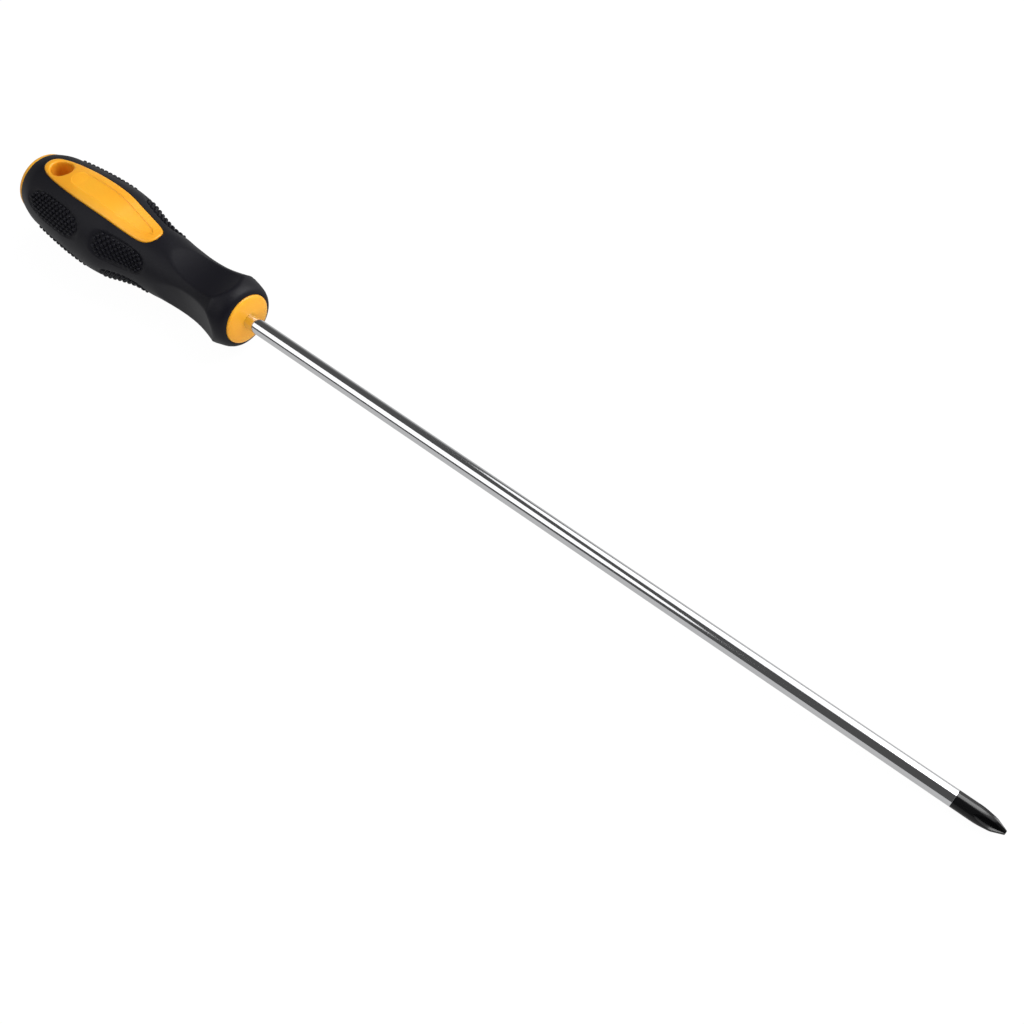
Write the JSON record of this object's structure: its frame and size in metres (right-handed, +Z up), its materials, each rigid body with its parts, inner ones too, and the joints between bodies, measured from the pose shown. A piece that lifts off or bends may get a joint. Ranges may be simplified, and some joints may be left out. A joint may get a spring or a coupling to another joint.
{
  "type": "screwdriver",
  "caption": "Long slim cross-point screwdriver: bare round steel blade, waisted handle with soft fluted skin, hard window panels and a hanging hole through its rear end.",
  "frame": {"origin": "middle of the underside of the bounding box, on the surface the tool lies on", "axes": "+X runs along the tool towards the blade's tip, +Z is up and points out of the upper window, +Y completes the right-handed set"},
  "size_m": [0.443, 0.0368, 0.0367],
  "materials": {
    "chrome_steel": "bright plate, black-finished at the point",
    "hard_grey_plastic": "moulded, hidden inside the handle",
    "yellow_plastic": "semi-gloss moulded",
    "soft_black_rubber": "satin moulded, finely dotted pads"
  },
  "bodies": {
    "root": {"blade": "chrome_steel", "tang_core": "hard_grey_plastic", "handle_body": "yellow_plastic", "grip_sleeve": "soft_black_rubber", "end_cap": "yellow_plastic"}
  },
  "joints": []
}
